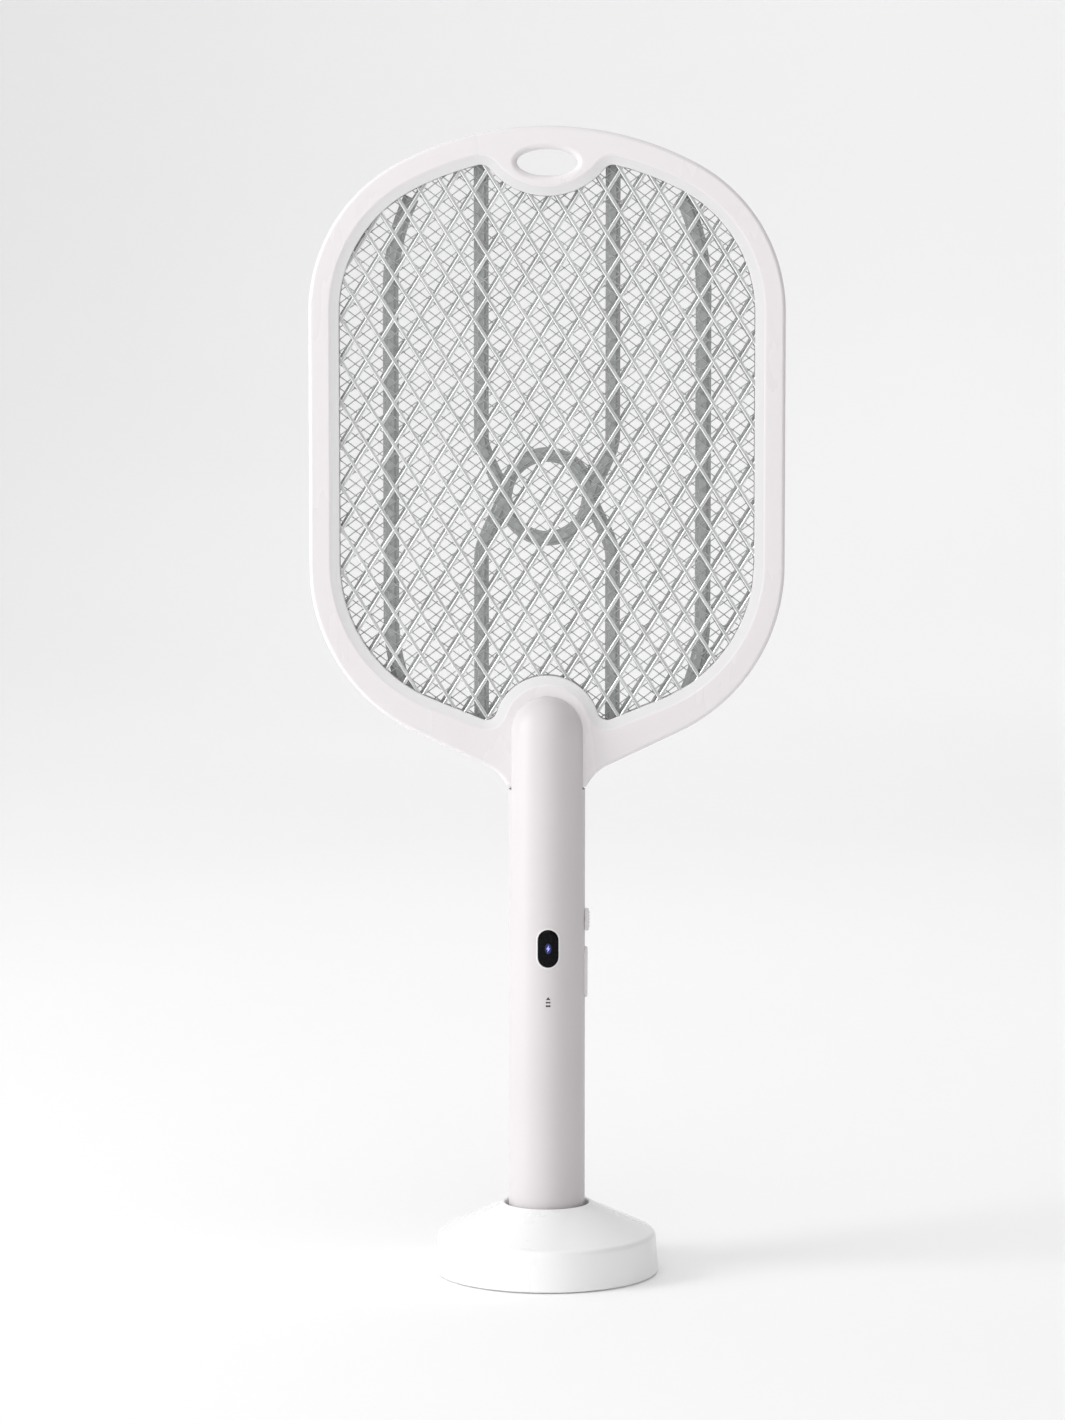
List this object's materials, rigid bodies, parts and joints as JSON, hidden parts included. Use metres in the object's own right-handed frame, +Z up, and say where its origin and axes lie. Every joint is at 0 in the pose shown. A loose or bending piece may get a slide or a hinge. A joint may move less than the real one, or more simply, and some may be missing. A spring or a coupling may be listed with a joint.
{
  "type": "electric fly swatter",
  "caption": "Cordless racket-shaped fly swatter with a layered wire-grid head, a round handle with side controls, and a weighted round charging dock it stands in.",
  "frame": {"origin": "centre of the dock's underside, on the surface it stands on", "axes": "+Z up along the handle, -Y towards the front of the swatter, +X to the right as seen from the front"},
  "size_m": [0.206, 0.098, 0.5],
  "materials": {
    "white_abs": "moulded ABS, satin gloss white with a faint warm grey tone",
    "grey_white_abs": "moulded ABS, satin grey-white",
    "rib_grey": "moulded grey ABS, satin",
    "guard_metal": "plated grid, satin silver",
    "plated_steel": "zinc-plated steel",
    "gold_plate": "gold-plated brass",
    "circuit_board": "green glass-fibre board",
    "smoked_lens": "gloss smoked black acrylic",
    "clear_guide": "clear diffusing acrylic",
    "lamp_blue": "tinted epoxy lamp",
    "black_part": "black nylon",
    "cell_wrap": "blue shrink sleeve on a steel can",
    "winding_tape": "yellow winding tape",
    "film_capacitor": "brown epoxy dip",
    "resistor_coat": "blue lacquer",
    "red_wire": "red PVC insulation",
    "black_wire": "black PVC insulation",
    "silicone_wire": "white silicone insulation",
    "foam_rubber": "dark foam rubber",
    "ballast_steel": "plain steel weight"
  },
  "bodies": {
    "dock": {"anti_slip_pad": "foam_rubber", "base_bottom_plate": "grey_white_abs", "base_cover": "white_abs", "base_socket": "grey_white_abs", "base_ballast": "ballast_steel", "dock_board": "circuit_board", "inlet_board": "circuit_board", "usb_c_socket": "plated_steel", "pogo_barrel_right": "gold_plate", "pogo_barrel_left": "gold_plate", "dock_wire_red": "red_wire", "dock_wire_black": "black_wire", "base_screw_1": "plated_steel", "base_screw_2": "plated_steel", "base_screw_3": "plated_steel", "base_screw_4": "plated_steel"},
    "swatter": {"handle_front_shell": "white_abs", "handle_rear_shell": "white_abs", "handle_end_cap": "white_abs", "display_window": "smoked_lens", "light_guide": "clear_guide", "indicator_led": "lamp_blue", "main_board": "circuit_board", "battery_cell": "cell_wrap", "battery_lead_red": "red_wire", "battery_lead_black": "black_wire", "charge_lead_right": "red_wire", "charge_lead_left": "black_wire", "contact_pad_right": "gold_plate", "contact_pad_left": "gold_plate", "hv_transformer": "winding_tape", "hv_capacitor": "film_capacitor", "bleed_resistor": "resistor_coat", "hv_lead_right": "silicone_wire", "hv_lead_left": "silicone_wire", "push_switch_body": "black_part", "slide_switch_body": "plated_steel", "handle_screw_1": "plated_steel", "handle_screw_2": "plated_steel", "handle_screw_3": "plated_steel", "head_front_frame": "white_abs", "head_rear_frame": "white_abs", "front_guard_mesh": "guard_metal", "high_voltage_mesh": "plated_steel", "rear_guard_mesh": "guard_metal", "mesh_spacer": "grey_white_abs", "rib_frame": "rib_grey", "head_screw_1": "plated_steel", "head_screw_2": "plated_steel", "head_screw_3": "plated_steel", "head_screw_4": "plated_steel", "head_screw_5": "plated_steel", "head_screw_6": "plated_steel"},
    "mode_slider": {"mode_slider": "white_abs", "slide_switch_lever": "black_part"},
    "trigger": {"trigger_button": "white_abs"},
    "switch_plunger": {"push_switch_plunger": "grey_white_abs"},
    "contact_pin_right": {"pogo_pin_right": "gold_plate"},
    "contact_pin_left": {"pogo_pin_left": "gold_plate"}
  },
  "joints": [
    {"name": "lift_off", "type": "slide", "parent": "dock", "child": "swatter", "axis": [0, 0, 1], "range_m": [0, 0.06]},
    {"name": "mode_slide", "type": "slide", "parent": "swatter", "child": "mode_slider", "axis": [0, 0, 1], "range_m": [-0.0015, 0.0015]},
    {"name": "trigger_press", "type": "slide", "parent": "swatter", "child": "trigger", "axis": [-1, 0, 0], "range_m": [0, 0.001], "stiffness_N_per_m": 800},
    {"name": "switch_press", "type": "slide", "parent": "swatter", "child": "switch_plunger", "axis": [-1, 0, 0], "range_m": [0, 0.001]},
    {"name": "pin_right_press", "type": "slide", "parent": "dock", "child": "contact_pin_right", "axis": [0, 0, -1], "range_m": [0, 0.0008], "stiffness_N_per_m": 400},
    {"name": "pin_left_press", "type": "slide", "parent": "dock", "child": "contact_pin_left", "axis": [0, 0, -1], "range_m": [0, 0.0008], "stiffness_N_per_m": 400}
  ],
  "couplings": [
    {"joint": "switch_press", "follows": "trigger_press", "ratio": 1}
  ]
}
